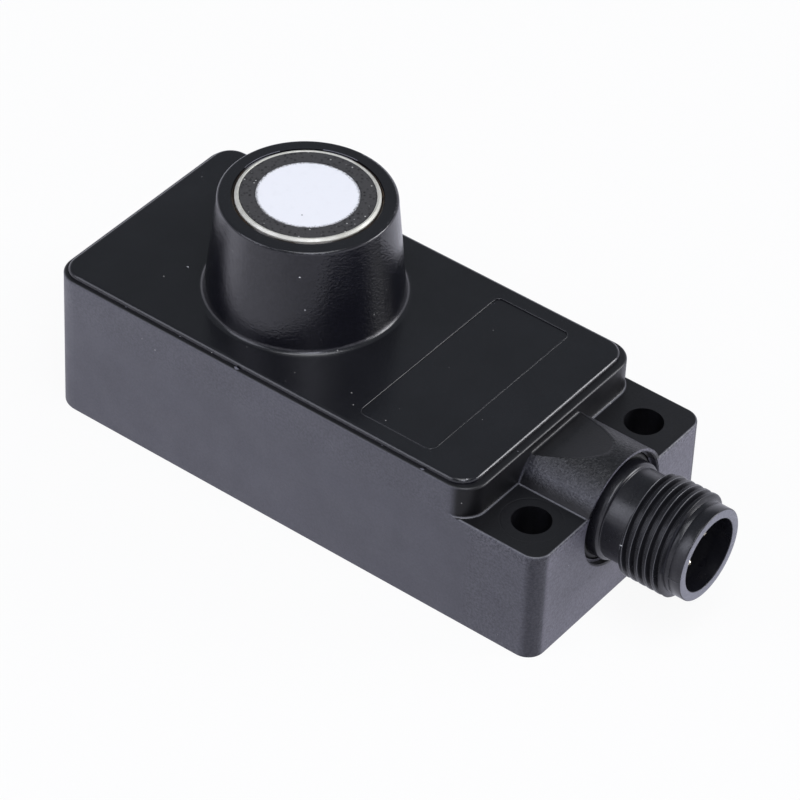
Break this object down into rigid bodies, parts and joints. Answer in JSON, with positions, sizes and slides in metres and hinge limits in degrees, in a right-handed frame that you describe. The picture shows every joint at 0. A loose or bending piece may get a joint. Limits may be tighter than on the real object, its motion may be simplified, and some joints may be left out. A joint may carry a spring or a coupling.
{
  "type": "ultrasonic proximity sensor",
  "caption": "Compact black block sensor with a conical nose, a white sensing disc in a metal ring, a two-hole screw deck and a threaded round plug connector",
  "frame": {"origin": "midway between the two screw holes, on the plane of the base", "axes": "+X out of the connector along its axis, +Z the sensing direction, +Y across the body"},
  "size_m": [0.076, 0.0296, 0.0312],
  "materials": {
    "housing_plastic": "spark-textured glass-filled moulding, faint grey sheen",
    "cover_plastic": "smoother moulding, satin",
    "ring_metal": "thin drawn metal edge, satin",
    "foam": "fine closed-cell foam with a few pores",
    "disc_resin": "pale filled resin, matt, ragged edge",
    "piezo_ceramic": "fired and silvered ceramic",
    "damping_rubber": "cast soft rubber",
    "lead_red": "insulated lead",
    "wire_dark": "insulated wire",
    "wire_brown": "insulated wire",
    "wire_white": "insulated wire",
    "wire_blue": "insulated wire",
    "potting_resin": "cast soft resin",
    "board_laminate": "solder-masked laminate",
    "ferrite": "sintered ferrite",
    "bobbin_plastic": "plain moulding",
    "enamelled_wire": "enamelled copper turns",
    "chip_plastic": "moulded package",
    "chip_ceramic": "fired ceramic chips",
    "can_aluminium": "drawn can",
    "connector_plastic": "smooth moulding with an external thread",
    "carrier_plastic": "smooth moulding",
    "pin_metal": "gold-flashed brass",
    "seal_rubber": "moulded rubber cord",
    "adhesive": "dark brown adhesive, glossy"
  },
  "bodies": {
    "root": {"housing": "housing_plastic", "front_cover": "cover_plastic", "transducer_ring": "ring_metal", "foam_ring": "foam", "ring_adhesive": "adhesive", "matching_disc": "disc_resin", "piezo_disc": "piezo_ceramic", "damping_body": "damping_rubber", "isolation_sleeve": "damping_rubber", "lead_signal": "lead_red", "lead_ground": "wire_dark", "connector_wire_4": "wire_dark", "potting_block": "potting_resin", "circuit_board": "board_laminate", "transformer_core": "ferrite", "inductor_core": "ferrite", "transformer_bobbin": "bobbin_plastic", "transformer_winding": "enamelled_wire", "inductor_winding": "enamelled_wire", "controller_chip": "chip_plastic", "amplifier_chip": "chip_plastic", "drive_transistor": "chip_plastic", "voltage_regulator": "chip_plastic", "chip_resistors": "chip_plastic", "clock_resonator": "chip_ceramic", "chip_capacitors": "chip_ceramic", "storage_capacitor": "can_aluminium", "connector_shell": "connector_plastic", "contact_carrier": "carrier_plastic", "contact_pin_1": "pin_metal", "contact_pin_2": "pin_metal", "contact_pin_3": "pin_metal", "contact_pin_4": "pin_metal", "connector_wire_1": "wire_brown", "connector_wire_2": "wire_white", "connector_wire_3": "wire_blue", "connector_seal": "seal_rubber"}
  },
  "joints": []
}
